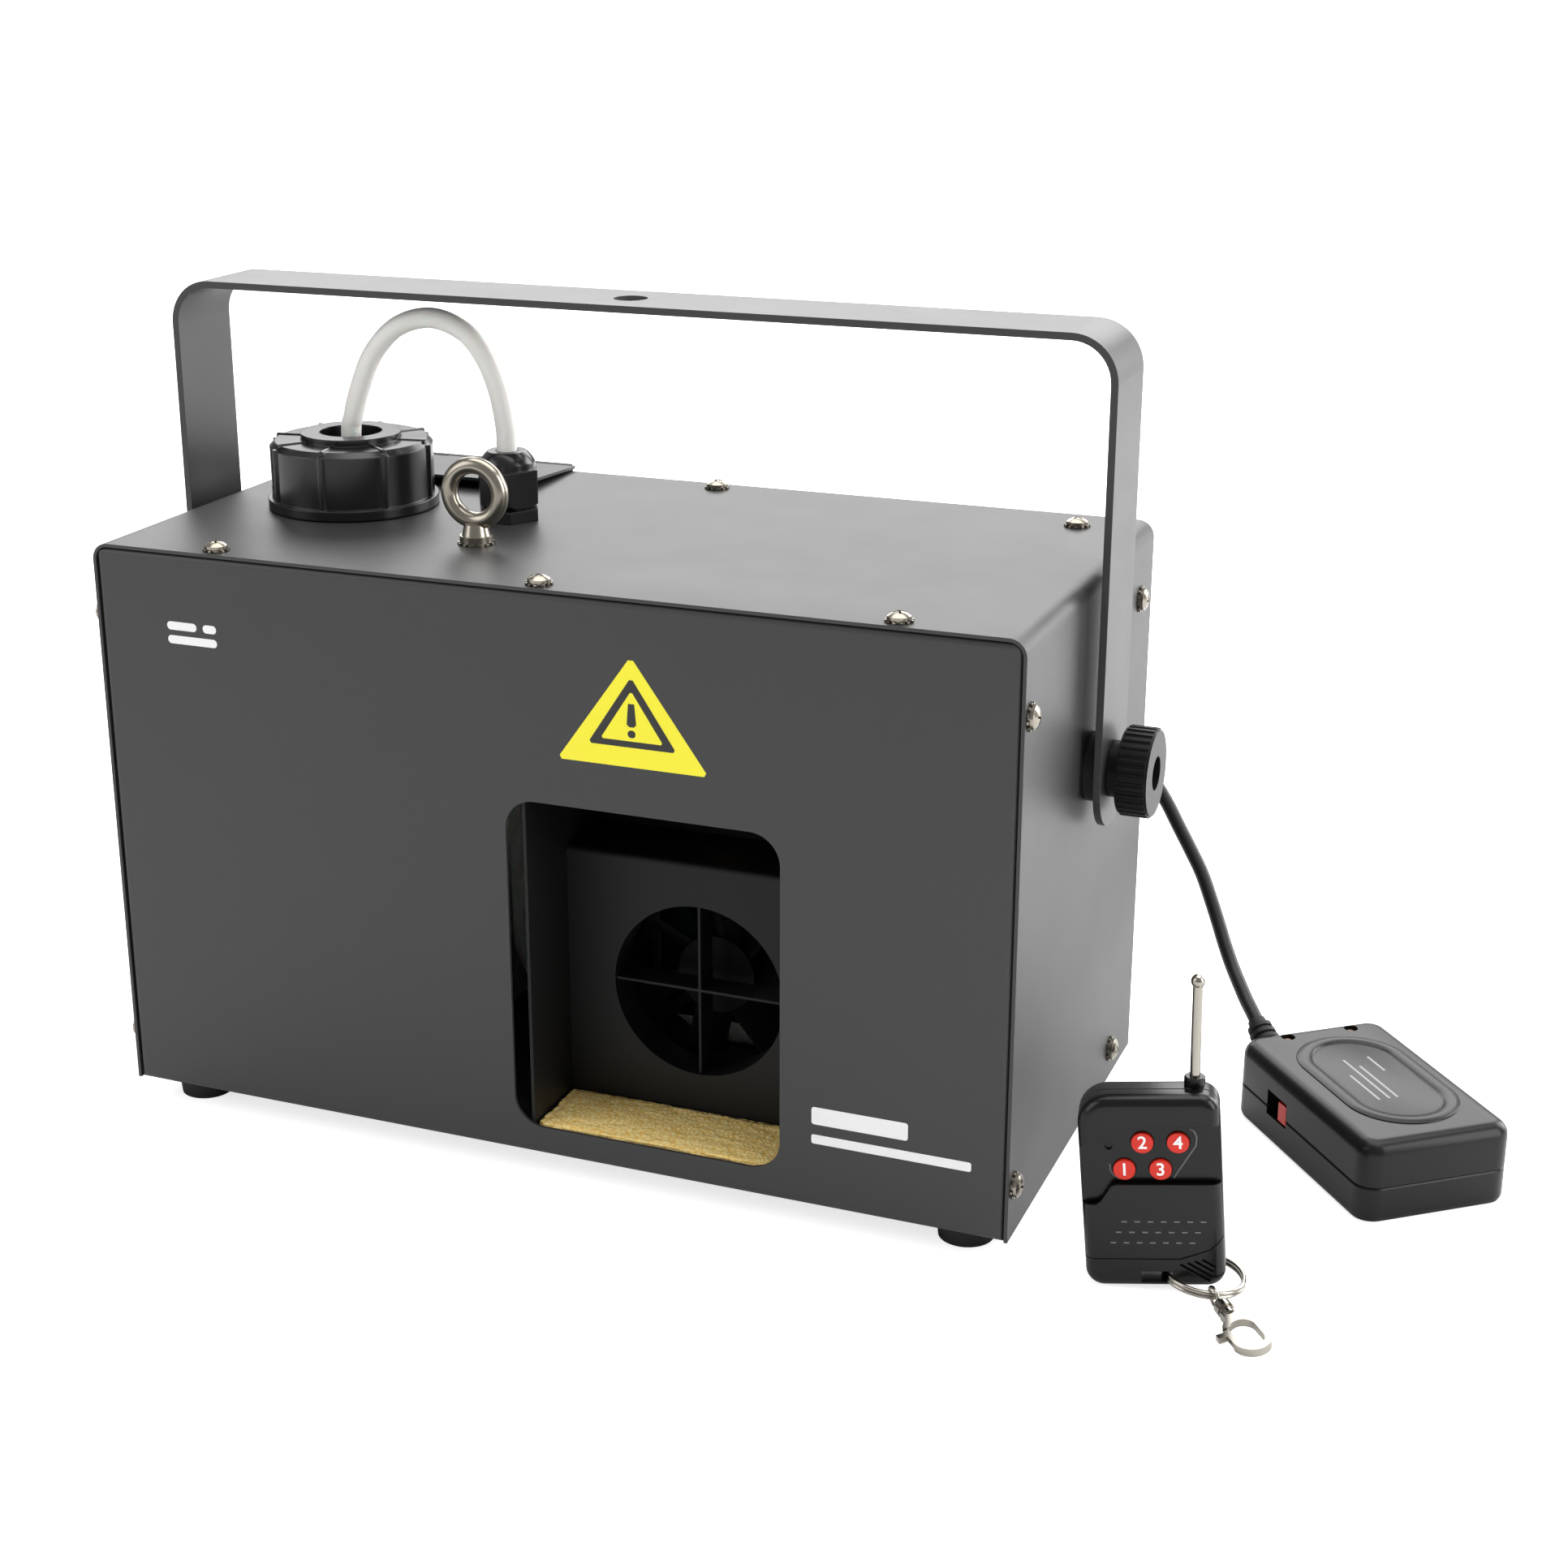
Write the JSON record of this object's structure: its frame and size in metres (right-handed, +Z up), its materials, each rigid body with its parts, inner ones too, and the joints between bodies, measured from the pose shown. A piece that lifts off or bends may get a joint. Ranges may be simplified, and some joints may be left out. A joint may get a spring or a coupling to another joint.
{
  "type": "fog machine",
  "caption": "Sheet-metal fog machine on a tilting hanging bracket, with a capped fluid tank and tube, a recessed outlet, a wired radio receiver and a hand remote.",
  "frame": {"origin": "the surface that the feet stand on, under the centre of the sheet-metal housing", "axes": "+X towards the receiver side (right when the outlet faces the viewer), -Y out of the outlet, +Z up"},
  "size_m": [0.5092, 0.2505, 0.298],
  "materials": {
    "black_coat": "satin powder coat",
    "black_steel": "matt",
    "nickel": "bright nickel",
    "steel": "plain",
    "rubber": "matt",
    "gloss_black": "gloss",
    "matt_black": "fine texture",
    "sponge": "open-cell foam",
    "alloy": "cast",
    "brass": "plain",
    "ceramic": "matt",
    "pump_coat": "satin",
    "copper": "plain",
    "board": "solder mask",
    "milky": "translucent",
    "silicone": "translucent",
    "red": "gloss",
    "cable": "satin"
  },
  "bodies": {
    "housing": {"base_plate": "black_coat", "front_panel": "black_coat", "rear_panel": "black_coat", "cover": "black_coat", "screws": "nickel", "star_washers": "nickel", "feet": "rubber", "chamber_hood": "black_steel", "duct_plate": "black_coat", "duct_ring": "black_coat", "drip_sponge": "sponge", "fan_frame": "matt_black", "heater_block": "alloy", "nozzle": "brass", "thermostat": "ceramic", "standoffs": "steel", "pump_body": "pump_coat", "feed_pipe": "copper", "control_board": "board", "tank": "milky", "silicone_tube": "silicone", "gland_body": "matt_black", "gland_locknut": "matt_black", "eyebolt": "nickel", "eyebolt_nut": "nickel", "hatch_hinge": "steel", "pivot_studs": "steel", "pivot_spacers": "rubber", "iec_inlet": "matt_black", "power_switch": "matt_black", "remote_socket": "matt_black", "remote_plug": "matt_black", "receiver_cable": "cable", "receiver_relief": "rubber", "receiver_base": "matt_black", "receiver_lid": "matt_black", "receiver_board": "board"},
    "bracket": {"bracket": "black_coat"},
    "knob_right": {"clamp_knob_right": "matt_black"},
    "knob_left": {"clamp_knob_left": "matt_black"},
    "cap_seal": {"cap_gasket": "rubber"},
    "cap": {"tank_cap": "gloss_black"},
    "gland_nut": {"gland_nut": "gloss_black"},
    "hatch": {"tank_hatch": "black_coat"},
    "fan": {"fan_rotor": "matt_black"},
    "rocker": {"power_rocker": "red"},
    "plunger": {"pump_plunger": "steel"},
    "receiver_slider": {"receiver_switch": "red"},
    "remote": {"fob_back": "gloss_black", "fob_front": "gloss_black", "fob_board": "board"},
    "remote_cover": {"fob_cover": "gloss_black"},
    "button_1": {"fob_button_1": "red"},
    "button_2": {"fob_button_2": "red"},
    "button_3": {"fob_button_3": "red"},
    "button_4": {"fob_button_4": "red"},
    "antenna": {"fob_antenna": "nickel"},
    "key_ring": {"key_ring": "nickel", "key_clasp": "nickel"},
    "clasp_lever": {"clasp_trigger": "nickel"}
  },
  "joints": [
    {"name": "bracket_tilt", "type": "hinge", "parent": "housing", "child": "bracket", "pos_m": [0, 0.004, 0.148], "axis": [1, 0, 0], "range_deg": [-90, 110]},
    {"name": "knob_right_turn", "type": "hinge", "parent": "housing", "child": "knob_right", "pos_m": [0.185, 0.004, 0.148], "axis": [1, 0, 0], "range_deg": [0, 720]},
    {"name": "knob_left_turn", "type": "hinge", "parent": "housing", "child": "knob_left", "pos_m": [-0.185, 0.004, 0.148], "axis": [-1, 0, 0], "range_deg": [0, 720]},
    {"name": "cap_lift", "type": "slide", "parent": "housing", "child": "cap_seal", "axis": [0, 0, 1], "range_m": [0, 0.006]},
    {"name": "cap_turn", "type": "hinge", "parent": "cap_seal", "child": "cap", "pos_m": [-0.114, 0.003, 0.22], "axis": [0, 0, 1], "range_deg": [0, 540]},
    {"name": "gland_nut_turn", "type": "hinge", "parent": "housing", "child": "gland_nut", "pos_m": [-0.0496, 0.003, 0.228], "axis": [0, 0, 1], "range_deg": [0, 720]},
    {"name": "hatch_lift", "type": "hinge", "parent": "housing", "child": "hatch", "pos_m": [-0.111, 0.0853, 0.2163], "axis": [-1, 0, 0], "range_deg": [0, 100]},
    {"name": "fan_spin", "type": "hinge", "parent": "housing", "child": "fan", "pos_m": [0.0465, -0.025, 0.066], "axis": [0, -1, 0], "continuous": true},
    {"name": "power_rock", "type": "hinge", "parent": "housing", "child": "rocker", "pos_m": [0.08, 0.081, 0.044], "axis": [1, 0, 0], "range_deg": [0, 24]},
    {"name": "pump_stroke", "type": "slide", "parent": "housing", "child": "plunger", "axis": [1, 0, 0], "range_m": [-0.002, 0.002], "stiffness_N_per_m": 200},
    {"name": "receiver_slide", "type": "slide", "parent": "housing", "child": "receiver_slider", "axis": [-0.6293, 0.7771, 0], "range_m": [0, 0.006]},
    {"name": "remote_lift", "type": "slide", "parent": "housing", "child": "remote", "axis": [0, 0, 1], "range_m": [0, 0.15]},
    {"name": "remote_cover_slide", "type": "slide", "parent": "remote", "child": "remote_cover", "axis": [-0.0905, -0.0184, 0.9957], "range_m": [0, 0.0195]},
    {"name": "button_1_press", "type": "slide", "parent": "remote", "child": "button_1", "axis": [-0.1994, 0.9799, 0], "range_m": [0, 0.0008], "stiffness_N_per_m": 600},
    {"name": "button_2_press", "type": "slide", "parent": "remote", "child": "button_2", "axis": [-0.1994, 0.9799, 0], "range_m": [0, 0.0008], "stiffness_N_per_m": 600},
    {"name": "button_3_press", "type": "slide", "parent": "remote", "child": "button_3", "axis": [-0.1994, 0.9799, 0], "range_m": [0, 0.0008], "stiffness_N_per_m": 600},
    {"name": "button_4_press", "type": "slide", "parent": "remote", "child": "button_4", "axis": [-0.1994, 0.9799, 0], "range_m": [0, 0.0008], "stiffness_N_per_m": 600},
    {"name": "antenna_slide", "type": "slide", "parent": "remote", "child": "antenna", "axis": [-0.0222, -0.0045, 0.9997], "range_m": [-0.03, 0]},
    {"name": "key_ring_turn", "type": "hinge", "parent": "remote", "child": "key_ring", "pos_m": [0.233, -0.07061, 0.0046], "axis": [0.1024, 0.0208, 0.9945], "range_deg": [-20, 30]},
    {"name": "clasp_lever_press", "type": "hinge", "parent": "key_ring", "child": "clasp_lever", "pos_m": [0.24694, -0.10067, 0.00262], "axis": [-0.0727, -0.1226, 0.9898], "range_deg": [0, 24], "stiffness_Nm_per_rad": 0.02}
  ],
  "couplings": [
    {"joint": "cap_lift", "follows": "cap_turn", "m_per_rad": 0.00063662}
  ]
}
